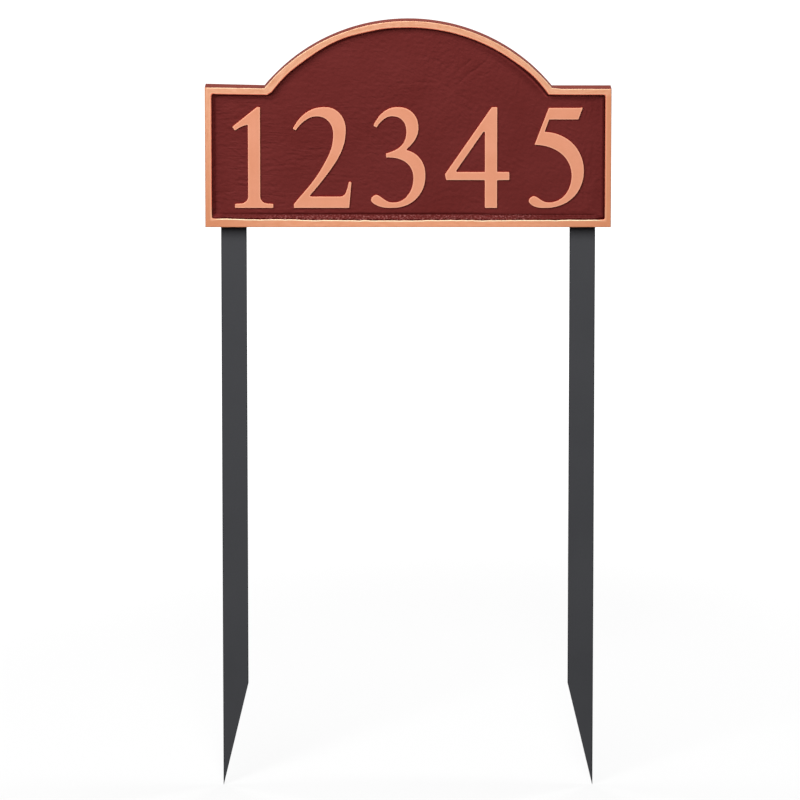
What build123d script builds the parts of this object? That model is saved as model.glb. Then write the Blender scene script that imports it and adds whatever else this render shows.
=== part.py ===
from build123d import *
import math
import os

os.makedirs("parts", exist_ok=True)

# Lawn address sign: a cast plaque with an arched top, five applied numerals and two angle stakes.
# Millimetres. +X is the reader's right, +Y points to the back and +Z up. The origin is midway
# between the two stake points, on the plane where the stakes lie against the plaque's bosses.

# Plaque outline
plaque_width = 400.8
shoulder_height = 143.3
arch_span = 283.6
arch_rise = 68.6

# Plaque section
plaque_thickness = 12.7
recess_depth = 8.0
border_width = 6.8
lower_border_width = 7.4
recess_wall_spread = 3.5
side_draft = 0.8
recess_corner_radius = 2.0
recess_foot_radius = 1.5
border_edge_radius = 0.8

# Bosses on the plaque's back
boss_diameter = 14.0
boss_foot_radius = 2.0
boss_hole_floor = 1.6
boss_hole_runout = 1.4

# Numerals
numeral_height = 103.8
numeral_thickness = 2.0
numeral_gap = 19.2
numeral_baseline = 18.2
numeral_corner_radius = 0.9
numeral_edge = 0.3
outline_height = 105.0

# Stakes, of equal-leg angle with the heel at the outer front edge
stake_length = 685.8
stake_overlap = 96.8
leg_width = 25.4
leg_thickness = 3.2
leg_root_radius = 2.5
leg_toe_radius = 1.2
heel_radius = 0.6
stake_spread = 370.2
point_height = 108.2

# Fixings
lower_screw_above_edge = 22.6
screw_pitch = 62.0
screw_diameter = 4.2
screw_length = 10.0
head_diameter = 8.2
head_height = 2.9
head_crown_radius = 1.6
cross_width = 1.2
cross_length = 4.8
cross_depth = 1.7
cross_taper = 12.0
washer_outer_diameter = 7.4
washer_thickness = 1.1
washer_split = 0.7
washer_split_slant = 20.0
thread_clearance = 0.05
washer_clearance = 0.1
screw_tip_chamfer = 0.5
stake_hole_clearance = 0.4

# Closeness at which two points count as one, and the bend below which a joint counts as smooth
touch = 0.01
smooth_bend = 0.3

# Places that follow from the sizes
washer_seat = leg_thickness
head_seat = washer_seat + washer_thickness
boss_hole_radius = screw_diameter / 2 + thread_clearance
boss_hole_depth = screw_length - head_seat + boss_hole_runout
boss_height = boss_hole_depth + boss_hole_floor - (plaque_thickness - recess_depth)
plaque_bottom = stake_length - stake_overlap
plaque_back = -boss_height
plaque_front = plaque_back - plaque_thickness
field_plane = plaque_front + recess_depth
arch_radius = (arch_span**2 / 4 + arch_rise**2) / (2 * arch_rise)
arch_centre_height = shoulder_height + arch_rise - arch_radius
leg_screw_line = stake_spread / 2 - leg_thickness - (leg_width - leg_thickness) / 2
screw_heights = (
    plaque_bottom + lower_screw_above_edge,
    plaque_bottom + lower_screw_above_edge + screw_pitch,
)
stake_hole_radius = screw_diameter / 2 + stake_hole_clearance
sides = {"left": -1, "right": 1}
levels = {"lower": screw_heights[0], "upper": screw_heights[1]}


# Upright plane at depth y that faces the reader, with its own origin at the plaque's bottom edge
def front_plane(y):
    return Plane((0, y, plaque_bottom), x_dir=(1, 0, 0), z_dir=(0, -1, 0))


# Upright plane at depth y that faces away from the reader, centred on a screw
def back_plane(x, y, z):
    return Plane((x, y, z), x_dir=(-1, 0, 0), z_dir=(0, 1, 0))


# The plaque's outline at depth y, with its lowest edge moved in by low and every other edge by inset
def plaque_outline(y, inset, low):
    half = plaque_width / 2 - inset
    shoulder = shoulder_height - inset
    radius = arch_radius - inset
    foot = math.sqrt(radius**2 - (shoulder - arch_centre_height) ** 2)
    with BuildSketch(front_plane(y)) as outline:
        with BuildLine():
            Polyline(
                (-foot, shoulder),
                (-half, shoulder),
                (-half, low),
                (half, low),
                (half, shoulder),
                (foot, shoulder),
            )
            ThreePointArc((foot, shoulder), (0, arch_centre_height + radius), (-foot, shoulder))
        make_face()
    return outline.sketch


# Casting with a raised border, a sunken field, and one boss behind each screw
def runs_down_wall(edge):
    depths = sorted(((edge @ 0).Y, (edge @ 1).Y))
    return abs(depths[0] - plaque_front) < touch and abs(depths[1] - field_plane) < touch


with BuildPart() as plaque:
    draft_angle = math.degrees(math.atan(side_draft / plaque_thickness))
    wall_angle = math.degrees(math.atan(recess_wall_spread / recess_depth))
    extrude(plaque_outline(plaque_front, 0, 0), amount=-plaque_thickness, taper=draft_angle)
    extrude(
        plaque_outline(plaque_front, border_width, lower_border_width),
        amount=-recess_depth,
        taper=wall_angle,
        mode=Mode.SUBTRACT,
    )
    fillet(plaque.edges().filter_by(runs_down_wall), recess_corner_radius)
    fillet(plaque.faces().filter_by(Axis.Y).sort_by(Axis.Y)[1].edges(), recess_foot_radius)
    fillet(plaque.faces().filter_by(Axis.Y).sort_by(Axis.Y)[0].edges(), border_edge_radius)
    for side in sides.values():
        for height in screw_heights:
            with BuildSketch(back_plane(side * leg_screw_line, plaque_back, height)):
                Circle(boss_diameter / 2)
            extrude(amount=boss_height)
            with BuildSketch(back_plane(side * leg_screw_line, 0, height)):
                Circle(boss_hole_radius)
            extrude(amount=-boss_hole_depth, mode=Mode.SUBTRACT)
    boss_feet = plaque.edges().filter_by(GeomType.CIRCLE)
    boss_feet = boss_feet.filter_by(lambda edge: abs(edge.radius - boss_diameter / 2) < touch)
    fillet(boss_feet.filter_by_position(Axis.Y, plaque_back - touch, plaque_back + touch), boss_foot_radius)

plaque.part.label = "plaque"
export_step(plaque.part, "parts/plaque.step")


# Numerals, each drawn at outline_height with its foot on y = 0 and its left side on x = 0
def outline_one():
    bracket = 7.5
    with BuildSketch() as numeral:
        with BuildLine():
            Polyline((9.4, 4.8), (2.6, 4.4), (2.6, 0), (41.0, 0), (41.0, 4.4), (34.2, 4.8))
            RadiusArc((34.2, 4.8), (28.0, 11.5), bracket)
            Polyline((28.0, 11.5), (28.0, 105.0), (24.8, 105.0), (0, 84.4), (3.0, 80.4))
            ThreePointArc((3.0, 80.4), (9.6, 84.6), (15.7, 86.6))
            Line((15.7, 86.6), (15.7, 11.5))
            RadiusArc((15.7, 11.5), (9.4, 4.8), bracket)
        make_face()
    return numeral.sketch


def outline_two():
    with BuildSketch() as numeral:
        with BuildLine():
            Polyline((16.2, 12.0), (47.0, 12.0))
            Spline((47.0, 12.0), (53.4, 17.4), (56.0, 27.6), tangents=((1, 0), (0.2, 1)))
            Polyline((56.0, 27.6), (58.7, 27.0), (56.4, 0), (1.0, 0), (1.0, 4.2))
            Spline((1.0, 4.2), (21.6, 30.0), (34.4, 52.0), (40.3, 77.0), tangents=((0.62, 0.78), (0, 1)))
            Spline((40.3, 77.0), (35.6, 90.2), (24.0, 95.2), tangents=((0, 1), (-1, 0)))
            Spline((24.0, 95.2), (12.6, 91.0), (3.2, 80.6), tangents=((-1, 0), (-0.55, -1)))
            Line((3.2, 80.6), (0, 82.4))
            Spline((0, 82.4), (12.6, 98.6), (31.5, 105.0), tangents=((0.5, 1), (1, 0)))
            Spline((31.5, 105.0), (47.0, 98.4), (53.0, 81.0), tangents=((1, 0), (0, -1)))
            Spline((53.0, 81.0), (45.4, 52.0), (31.0, 30.4), (16.2, 12.0), tangents=((0, -1), (-0.66, -0.75)))
        make_face()
    return numeral.sketch


def outline_three():
    with BuildSketch() as numeral:
        with BuildLine():
            Line((5.8, 83.6), (2.2, 85.6))
            Spline((2.2, 85.6), (11.8, 99.4), (26.6, 105.0), tangents=((0.45, 1), (1, 0)))
            Spline((26.6, 105.0), (41.4, 99.4), (47.4, 83.4), tangents=((1, 0), (0, -1)))
            Spline((47.4, 83.4), (43.6, 70.4), (34.6, 60.4), tangents=((0, -1), (-1, -0.8)))
            Spline((34.6, 60.4), (49.0, 51.6), (54.4, 34.0), tangents=((1, -0.2), (0, -1)))
            Spline((54.4, 34.0), (46.0, 10.4), (20.8, 0), tangents=((0, -1), (-1, 0)))
            Spline((20.8, 0), (7.8, 1.8), (0, 8.2), (5.4, 13.8), tangents=((-1, 0), (1, 0.2)))
            Spline((5.4, 13.8), (13.0, 9.2), (22.0, 5.8), tangents=((1, -0.3), (1, 0)))
            Spline((22.0, 5.8), (36.6, 13.2), (42.2, 31.0), tangents=((1, 0), (0, 1)))
            Spline((42.2, 31.0), (34.6, 47.6), (15.0, 52.6), tangents=((0, 1), (-1, 0)))
            Line((15.0, 52.6), (15.0, 56.8))
            Spline((15.0, 56.8), (29.8, 64.4), (35.2, 79.6), tangents=((1, 0.3), (0, 1)))
            Spline((35.2, 79.6), (31.4, 91.0), (21.2, 95.4), tangents=((0, 1), (-1, 0)))
            Spline((21.2, 95.4), (12.4, 91.8), (5.8, 83.6), tangents=((-1, 0), (-0.45, -1)))
        make_face()
    return numeral.sketch


def outline_four():
    with BuildSketch() as numeral:
        with BuildLine():
            Polyline(
                (39.8, 0),
                (52.2, 0),
                (52.2, 29.0),
                (64.4, 29.0),
                (64.4, 37.6),
                (52.2, 37.6),
                (52.2, 105.0),
                (46.6, 105.0),
                (0, 35.2),
                (1.2, 29.0),
                (39.8, 29.0),
                close=True,
            )
        make_face()
        with BuildLine():
            Polyline((39.8, 81.4), (39.8, 37.6), (10.6, 37.6), close=True)
        make_face(mode=Mode.SUBTRACT)
    return numeral.sketch


def outline_five():
    with BuildSketch() as numeral:
        with BuildLine():
            Polyline((5.4, 65.6), (19.6, 104.2), (50.6, 104.2), (54.0, 105.0), (49.2, 92.0), (20.2, 92.0))
            Line((20.2, 92.0), (15.6, 79.2))
            Bezier((15.6, 79.2), (38.4, 78.6), (55.0, 61.0), (55.0, 38.4))
            Bezier((55.0, 38.4), (55.0, 16.6), (39.6, 0), (17.0, 0))
            Spline((17.0, 0), (6.6, 1.2), (0, 6.8), (5.0, 12.4), tangents=((-1, 0), (1, 0.2)))
            Spline((5.0, 12.4), (12.0, 8.6), (20.4, 5.8), tangents=((1, -0.2), (1, 0)))
            Bezier((20.4, 5.8), (32.6, 5.8), (42.6, 17.4), (42.6, 33.6))
            Bezier((42.6, 33.6), (42.6, 52.6), (26.6, 65.6), (5.4, 65.6))
        make_face()
    return numeral.sketch


# A corner is a vertex where the two edges that meet there don't run on smoothly
def corner_vertices(edges, vertices):
    corners = []
    for vertex in vertices:
        bend = Vector()
        for edge in edges:
            if (edge @ 0 - Vector(vertex)).length < touch:
                bend += edge % 0
            elif (edge @ 1 - Vector(vertex)).length < touch:
                bend -= edge % 1
        if bend.length > smooth_bend:
            corners.append(vertex)
    return corners


def make_numeral(outline, left):
    with BuildPart() as numeral:
        with BuildSketch(front_plane(field_plane)) as face:
            with Locations((left, numeral_baseline)):
                add(outline)
            fillet(corner_vertices(face.edges(), face.vertices()), numeral_corner_radius)
        extrude(amount=numeral_thickness)
        fillet(numeral.faces().sort_by(Axis.Y)[0].edges(), numeral_edge)
    return numeral.part


outlines = [
    scale(outline(), by=numeral_height / outline_height)
    for outline in (outline_one, outline_two, outline_three, outline_four, outline_five)
]
widths = [outline.bounding_box().size.X for outline in outlines]
left = -(sum(widths) + numeral_gap * (len(widths) - 1)) / 2
for number, (outline, width) in enumerate(zip(outlines, widths), start=1):
    numeral = make_numeral(outline, left)
    numeral.label = f"numeral_{number}"
    export_step(numeral, f"parts/numeral_{number}.step")
    left += width + numeral_gap


# Stakes of equal-leg angle, both legs cut back so that the heel runs down to a point at z = 0
def make_stake(side):
    heel = side * stake_spread / 2
    toe = heel - side * leg_width
    root = heel - side * leg_thickness
    heel_set_in = heel_radius * (1 - math.sqrt(0.5))
    slope = point_height / (leg_width - heel_set_in)
    point_x = heel - side * heel_set_in
    below = leg_width
    with BuildPart() as stake:
        with BuildSketch(Plane.XY.offset(-below)) as section:
            with BuildLine():
                Polyline(
                    (heel, 0),
                    (toe, 0),
                    (toe, leg_thickness),
                    (root, leg_thickness),
                    (root, leg_width),
                    (heel, leg_width),
                    close=True,
                )
            make_face()
            fillet(section.vertices().sort_by_distance((root, leg_thickness))[0], leg_root_radius)
            fillet(section.vertices().sort_by_distance((toe, leg_thickness))[0], leg_toe_radius)
            fillet(section.vertices().sort_by_distance((root, leg_width))[0], leg_toe_radius)
            fillet(section.vertices().sort_by_distance((heel, 0))[0], heel_radius)
        extrude(amount=stake_length + below)
        with BuildSketch(Plane.XZ):
            with BuildLine():
                Polyline(
                    (toe, point_height),
                    (point_x + side * below, -slope * below),
                    (toe, -slope * below),
                    close=True,
                )
            make_face()
        extrude(amount=-leg_width, mode=Mode.SUBTRACT)
        with BuildSketch(Plane.YZ.offset(heel)):
            with BuildLine():
                Polyline(
                    (leg_width, point_height),
                    (heel_set_in - below, -slope * below),
                    (leg_width, -slope * below),
                    close=True,
                )
            make_face()
        extrude(amount=-side * leg_width, mode=Mode.SUBTRACT)
        for height in screw_heights:
            with BuildSketch(back_plane(side * leg_screw_line, 0, height)):
                Circle(stake_hole_radius)
            extrude(amount=leg_thickness, mode=Mode.SUBTRACT)
    return stake.part


# Pan-head machine screw with a cross recess; its thread is plain
def make_screw(x, height):
    with BuildPart() as screw:
        with BuildSketch(Plane.XY.offset(height)) as half_section:
            with BuildLine():
                Polyline(
                    (x, head_seat + head_height),
                    (x, head_seat - screw_length),
                    (x + screw_diameter / 2, head_seat - screw_length),
                    (x + screw_diameter / 2, head_seat),
                    (x + head_diameter / 2, head_seat),
                    (x + head_diameter / 2, head_seat + head_height),
                    close=True,
                )
            make_face()
            crown = (x + head_diameter / 2, head_seat + head_height)
            fillet(half_section.vertices().sort_by_distance(crown)[0], head_crown_radius)
            tip = (x + screw_diameter / 2, head_seat - screw_length)
            chamfer(half_section.vertices().sort_by_distance(tip)[0], screw_tip_chamfer)
        revolve(axis=Axis((x, 0, height), (0, 1, 0)))
        with BuildSketch(back_plane(x, head_seat + head_height, height)):
            Rectangle(cross_length, cross_width)
            Rectangle(cross_width, cross_length)
        extrude(amount=-cross_depth, taper=cross_taper, mode=Mode.SUBTRACT)
    return screw.part


# Split lock washer, cut through at its top
def make_washer(x, height):
    lean = washer_thickness * math.tan(math.radians(washer_split_slant)) / 2
    with BuildPart() as washer:
        with BuildSketch(back_plane(x, washer_seat, height)):
            Circle(washer_outer_diameter / 2)
            Circle(screw_diameter / 2 + washer_clearance, mode=Mode.SUBTRACT)
        extrude(amount=washer_thickness)
        with BuildSketch(Plane.XY.offset(height)):
            with BuildLine():
                Polyline(
                    (x - washer_split / 2 - lean, washer_seat),
                    (x + washer_split / 2 - lean, washer_seat),
                    (x + washer_split / 2 + lean, washer_seat + washer_thickness),
                    (x - washer_split / 2 + lean, washer_seat + washer_thickness),
                    close=True,
                )
            make_face()
        extrude(amount=washer_outer_diameter, mode=Mode.SUBTRACT)
    return washer.part


for side_name, side in sides.items():
    stake = make_stake(side)
    stake.label = f"stake_{side_name}"
    export_step(stake, f"parts/stake_{side_name}.step")
    for level_name, height in levels.items():
        screw = make_screw(side * leg_screw_line, height)
        screw.label = f"stake_screw_{side_name}_{level_name}"
        export_step(screw, f"parts/stake_screw_{side_name}_{level_name}.step")
        washer = make_washer(side * leg_screw_line, height)
        washer.label = f"lock_washer_{side_name}_{level_name}"
        export_step(washer, f"parts/lock_washer_{side_name}_{level_name}.step")
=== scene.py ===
import math

import bpy
import numpy as np
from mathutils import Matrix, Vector, noise
from mathutils.geometry import delaunay_2d_cdt


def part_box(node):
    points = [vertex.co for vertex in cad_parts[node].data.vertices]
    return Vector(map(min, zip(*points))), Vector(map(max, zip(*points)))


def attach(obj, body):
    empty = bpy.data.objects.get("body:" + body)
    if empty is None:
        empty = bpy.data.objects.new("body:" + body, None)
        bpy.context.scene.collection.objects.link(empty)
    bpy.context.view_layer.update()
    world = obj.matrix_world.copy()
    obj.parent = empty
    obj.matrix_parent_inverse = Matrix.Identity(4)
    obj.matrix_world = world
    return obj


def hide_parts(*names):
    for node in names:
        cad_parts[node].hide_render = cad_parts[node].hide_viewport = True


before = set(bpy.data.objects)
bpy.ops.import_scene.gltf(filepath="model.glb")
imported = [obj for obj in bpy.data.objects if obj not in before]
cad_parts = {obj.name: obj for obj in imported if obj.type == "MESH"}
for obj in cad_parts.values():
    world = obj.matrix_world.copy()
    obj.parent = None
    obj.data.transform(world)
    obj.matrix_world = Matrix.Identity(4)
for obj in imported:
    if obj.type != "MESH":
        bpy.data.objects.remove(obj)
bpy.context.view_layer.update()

# Lawn address sign: the finish of every piece, the plaque's casting and the numerals in full detail.
# Sizes are millimetres, but those of the lights and the floor are Blender's own metres. +X is the
# reader's right, +Y the back of the sign and +Z up.
mm = 0.001

# Camera, at the photograph's viewing angle
camera_elevation = 17.5
camera_distance = 12000.0
camera_lens = 543.3
camera_sensor = 36.0
camera_aim = (-8.03, 0.0, 404.98)

# Plaque, as the frame gives it
plaque_low, plaque_high = (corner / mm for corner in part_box("plaque"))
numeral_low, numeral_high = (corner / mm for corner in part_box("numeral_1"))
half_width = plaque_high.x
outline_height = plaque_high.z - plaque_low.z
plaque_front = plaque_low.y
field_plane = numeral_high.y
recess_depth = field_plane - plaque_front
boss_seat = plaque_high.y

# Plaque, the casting's own sizes
boss_height = 4.0
plaque_thickness = boss_seat - boss_height - plaque_front
back_plane = plaque_front + plaque_thickness
shoulder_height = 143.3
arch_span = 283.6
border_width = 6.8
lower_border_width = 7.4
right_border_loss = 0.9
wall_spread = 3.5
side_draft = 0.8
front_edge_radius = 0.8
back_edge_radius = 0.35
foot_radius = 1.5
outer_corner_radius = 0.4
recess_corner_radius = 2.0
notch_radius = 0.8

# Bosses on the plaque's back
boss_radius = 7.0
boss_foot_radius = 2.0
boss_edge_radius = 0.3
boss_hole_radius = 2.15
boss_hole_depth = 7.1

# Numerals: each has a rounded face edge, and a narrow enamel foot that beds it on the field
numeral_edge = 0.3
numeral_foot = 0.3
numeral_foot_rise = 0.35
numeral_foot_side = 0.08
numeral_bed = 0.35
# Width of the painted highlight along each numeral's edges
numeral_rim = 1.3

# Closeness of the points in the meshes
edge_step = 1.25
bottom_step = 0.85
field_step = 1.45
fold_step = 0.72
back_step = 6.0
boss_points = 40
outline_step = 0.45
face_step = 0.9
face_clear = 0.45 * face_step
corner_turn = 30.0
straight_ratio = 5.0


# Nodes of one material, world or group. An input takes a number, a colour or another node's output. Add
# gives back all outputs of the new node, and the methods after it only the one that is used
class Nodes:
    def __init__(self, tree):
        self.tree = tree

    def feed(self, socket, value):
        if isinstance(value, (int, float)):
            socket.default_value = value
        elif isinstance(value, tuple):
            socket.default_value = (*value, 1) if len(socket.default_value) == 4 else value
        else:
            self.tree.links.new(value, socket)

    def add(self, kind, inputs, **settings):
        node = self.tree.nodes.new(kind)
        for setting, value in settings.items():
            setattr(node, setting, value)
        for label, value in inputs.items():
            self.feed(node.inputs[label], value)
        return node.outputs

    def math(self, operation, first, second=0.0, clamp=False):
        return self.add("ShaderNodeMath", {0: first, 1: second}, operation=operation, use_clamp=clamp)[0]

    def chain(self, operation, first, *others):
        for other in others:
            first = self.math(operation, first, other)
        return first

    def plus(self, *values):
        return self.chain("ADD", *values)

    def minus(self, first, second):
        return self.math("SUBTRACT", first, second)

    def times(self, *values):
        return self.chain("MULTIPLY", *values)

    def largest(self, *values):
        return self.chain("MAXIMUM", *values)

    # How far a value is from zero
    def off_zero(self, value):
        return self.math("ABSOLUTE", value)

    def vector(self, operation, first, second):
        return self.add("ShaderNodeVectorMath", {0: first, 1: second}, operation=operation)[0]

    def noise(self, place, scale, detail=2.0):
        return self.add("ShaderNodeTexNoise", {"Vector": place, "Scale": scale, "Detail": detail})["Fac"]

    def map(self, value, low, high, to_low=0.0, to_high=1.0, **settings):
        ends = {"From Min": low, "From Max": high, "To Min": to_low, "To Max": to_high}
        return self.add("ShaderNodeMapRange", {"Value": value, **ends}, **settings)["Result"]

    # Tone with others laid over it in turn, each by its share
    def over(self, tone, *layers):
        for share, upper in layers:
            tone = self.add("ShaderNodeMix", {0: share, 6: tone, 7: upper}, data_type="RGBA")[2]
        return tone


# Camera, lights and background
def add_object(name, data):
    thing = bpy.data.objects.new(name, data)
    bpy.context.scene.collection.objects.link(thing)
    return thing


def away_from_sign(azimuth, elevation):
    turn, rise = math.radians(azimuth), math.radians(elevation)
    return Vector((math.sin(turn) * math.cos(rise), -math.cos(turn) * math.cos(rise), math.sin(rise)))


def make_camera():
    camera = add_object("camera", bpy.data.cameras.new("camera"))
    away = away_from_sign(0, camera_elevation)
    camera.location = (Vector(camera_aim) + away * camera_distance) * mm
    camera.rotation_mode = "QUATERNION"
    camera.rotation_quaternion = (-away).to_track_quat("-Z", "Y")
    camera.data.lens = camera_lens
    camera.data.sensor_width = camera_sensor
    camera.data.clip_end = 100.0
    bpy.context.scene.camera = camera


# Level is the brightness that a white matte surface shows when it is square on to this light
def soft_light(name, azimuth, elevation, width, height, level, distance=3.0, aim=(0, 0, 0.7)):
    data = bpy.data.lights.new(name, "AREA")
    data.shape = "RECTANGLE"
    data.size, data.size_y = width, height
    data.energy = level * math.pi**2 * distance**2
    lamp = add_object(name, data)
    away = away_from_sign(azimuth, elevation)
    lamp.location = Vector(aim) + away * distance
    lamp.rotation_mode = "QUATERNION"
    lamp.rotation_quaternion = (-away).to_track_quat("-Z", "Y")
    lamp.visible_camera = False


def make_lights():
    soft_light("front_softbox", -18, 33, 2.4, 1.5, 1.2)
    soft_light("back_softbox", 180, 52, 2.6, 1.6, 0.7)
    soft_light("left_softbox", -105, 30, 1.6, 1.6, 0.5)
    soft_light("right_softbox", 105, 30, 1.6, 1.6, 0.75)


# Value that is 1 for rays that see the white background: straight on, in a gloss and through glass
def sees_background(nodes):
    path = nodes.add("ShaderNodeLightPath", {})
    return nodes.largest(path["Is Camera Ray"], path["Is Glossy Ray"], path["Is Transmission Ray"])


def make_world(fill_level=0.052):
    world = bpy.data.worlds.new("studio")
    bpy.context.scene.world = world
    world.use_nodes = True
    nodes = Nodes(world.node_tree)
    background = world.node_tree.nodes["Background"]
    nodes.feed(background.inputs["Color"], (1, 1, 1))
    nodes.feed(background.inputs["Strength"], nodes.map(sees_background(nodes), 0, 1, fill_level))


# White floor that keeps a faint shadow near the stakes; it sends little light back up
def make_floor(radius=8.0, corners=48, near=0.5, far=1.6):
    turns = [2 * math.pi * corner / corners for corner in range(corners)]
    points = [(radius * math.cos(turn), radius * math.sin(turn), 0.0) for turn in turns]
    mesh = bpy.data.meshes.new("floor")
    mesh.from_pydata(points, [], [range(corners)])
    floor = add_object("floor", mesh)
    finish = Finish("pale_floor")
    seen = sees_background(finish)
    reach = finish.add("ShaderNodeVectorMath", {0: finish.place}, operation="LENGTH")["Value"]
    glow = finish.map(reach, near, far, 0.66, 1.0, interpolation_type="SMOOTHSTEP")
    finish.set(
        Base_Color=finish.over((0.03, 0.03, 0.03), (seen, (0.22, 0.22, 0.22))),
        Roughness=1.0,
        Specular_IOR_Level=0.0,
        Emission_Color=(1, 1, 1),
        Emission_Strength=finish.times(glow, seen),
    )
    wear(floor, finish.material)


def ease(value):
    value = np.clip(value, 0, 1)
    return value * value * (3 - 2 * value)


# 1 between two places and 0 outside them: it rises softly from the first and falls softly to the last
def band(value, first, rise, last, fall):
    return ease((value - first) / rise) * ease((last - value) / fall)


def hump(value, middle, reach):
    return np.exp(-(((value - middle) / reach) ** 2))


# Smooth noise between about -1 and 1 at points (x, z); the sizes are the widths of its lumps
def lumps(x, z, size_x, size_z, layer):
    flat_x, flat_z = np.ravel(x) / size_x, np.ravel(z) / size_z
    values = [noise.noise((a, b, layer)) for a, b in zip(flat_x.tolist(), flat_z.tolist())]
    return np.array(values).reshape(np.shape(x))


# Triangles between closed loops and the points inside them
def fill(loops, inside):
    corners, links, start = [], [], 0
    for loop in loops:
        corners += loop.tolist()
        links += [(start + k, start + (k + 1) % len(loop)) for k in range(len(loop))]
        start += len(loop)
    corners += inside.tolist()
    made = delaunay_2d_cdt([Vector(corner) for corner in corners], links, [], 1, 1e-6)
    first_old = [names[0] for names in made[3]]
    triangles = np.array([[first_old[k] for k in face] for face in made[2]])
    middles = np.array(corners)[triangles].mean(axis=1)
    return triangles[within(middles, loops)]


# True for each point that the loops enclose; a loop inside another is a hole
def within(points, loops):
    crossings = np.zeros(len(points), dtype=int)
    for loop in loops:
        following = np.roll(loop, -1, axis=0)
        for (x1, z1), (x2, z2) in zip(loop, following):
            if z1 == z2:
                continue
            spans = (points[:, 1] >= min(z1, z2)) & (points[:, 1] < max(z1, z2))
            crossings += spans & (points[:, 0] < x1 + (points[:, 1] - z1) * (x2 - x1) / (z2 - z1))
    return crossings % 2 == 1


# Points of a net of even triangles over a rectangle
def triangle_net(low, high, step):
    row_step = step * math.sqrt(3) / 2
    rows = int((high[1] - low[1]) / row_step) + 2
    columns = int((high[0] - low[0]) / step) + 3
    row, column = np.meshgrid(np.arange(rows), np.arange(columns), indexing="ij")
    x = low[0] - step + (column + 0.5 * (row % 2)) * step
    return np.stack([x.ravel(), (low[1] + row * row_step).ravel()], axis=1)


# Points (x, z) of a flat net or ring, set at y
def set_at(flat, y):
    return np.stack([flat[:, 0], np.broadcast_to(y, len(flat)), flat[:, 1]], axis=1)


# Points and faces of one mesh, added part by part; a point's name is its number in the mesh
class Shape:
    def __init__(self):
        self.points, self.faces, self.made = [], [], 0

    def add(self, points):
        self.points.append(points)
        self.made += len(points)
        return np.arange(self.made - len(points), self.made)

    # Quads between rings of names, which all have the same count
    def join(self, rings):
        for outer, inner in zip(rings, rings[1:]):
            self.faces += np.stack([outer, np.roll(outer, -1), np.roll(inner, -1), inner], axis=1).tolist()

    # Triangles between closed loops and a net of points inside them, which is set at y
    def cover(self, loops, loop_names, net, y, faces_back=False):
        inside = self.add(set_at(net, y))
        triangles = np.concatenate([*loop_names, inside])[fill(loops, net)]
        self.faces += (triangles[:, ::-1] if faces_back else triangles).tolist()
        return inside

    def piece(self, name, rise=0.0):
        mesh = bpy.data.meshes.new(name)
        points = np.concatenate(self.points) + (0, 0, rise)
        mesh.from_pydata((points * mm).tolist(), [], self.faces)
        mesh.polygons.foreach_set("use_smooth", [True] * len(mesh.polygons))
        return add_object(name, mesh)


# Value of the named points of a piece; its other points have 0
def set_value(piece, label, names, values):
    everywhere = np.zeros(len(piece.data.vertices), dtype=np.float32)
    everywhere[names] = values
    piece.data.attributes.new(label, "FLOAT", "POINT").data.foreach_set("value", everywhere)


# Plaque casting: its outline at a given distance in from the edge, with rounded corners and notches
arch_rise = outline_height - shoulder_height
arch_radius = (arch_span**2 / 4 + arch_rise**2) / (2 * arch_rise)
arch_centre = shoulder_height + arch_rise - arch_radius
wall_angle = math.atan2(recess_depth, wall_spread)
corner_points = 6
notch_points = 5
straight_points = {
    "bottom": round(2 * half_width / bottom_step),
    "side": round(shoulder_height / edge_step),
    "shoulder": round((half_width - arch_span / 2) / edge_step),
    "arch": round(2 * arch_radius * math.asin(arch_span / 2 / arch_radius) / edge_step),
}


def straight(start, end, count):
    share = np.arange(count)[:, None] / count
    return np.array(start) + (np.array(end) - np.array(start)) * share


def arc(centre, radius, first, last, count):
    turn = np.radians(first + (last - first) * np.arange(count) / count)
    return np.array(centre) + radius * np.stack([np.cos(turn), np.sin(turn)], axis=1)


# Points (x, height above the plaque's lowest edge), anticlockwise as seen from the front: bottom, right
# side, right shoulder, arch, left shoulder, left side
def outline(inset, low_inset, corner, notch):
    edge = half_width - inset
    shoulder = shoulder_height - inset
    radius = arch_radius - inset
    notch_height = shoulder + notch - arch_centre
    notch_x = math.sqrt((radius + notch) ** 2 - notch_height**2)
    lean = math.degrees(math.atan2(notch_height, notch_x))
    inner, low, high = edge - corner, low_inset + corner, shoulder - corner
    return np.concatenate([
        straight((-inner, low_inset), (inner, low_inset), straight_points["bottom"]),
        arc((inner, low), corner, -90, 0, corner_points),
        straight((edge, low), (edge, high), straight_points["side"]),
        arc((inner, high), corner, 0, 90, corner_points),
        straight((inner, shoulder), (notch_x, shoulder), straight_points["shoulder"]),
        arc((notch_x, shoulder + notch), notch, -90, lean - 180, notch_points),
        arc((0, arch_centre), radius, lean, 180 - lean, straight_points["arch"]),
        arc((-notch_x, shoulder + notch), notch, -lean, -90, notch_points),
        straight((-notch_x, shoulder), (-inner, shoulder), straight_points["shoulder"]),
        arc((-inner, high), corner, 90, 180, corner_points),
        straight((-edge, high), (-edge, low), straight_points["side"]),
        arc((-inner, low), corner, 180, 270, corner_points),
    ])


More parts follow.
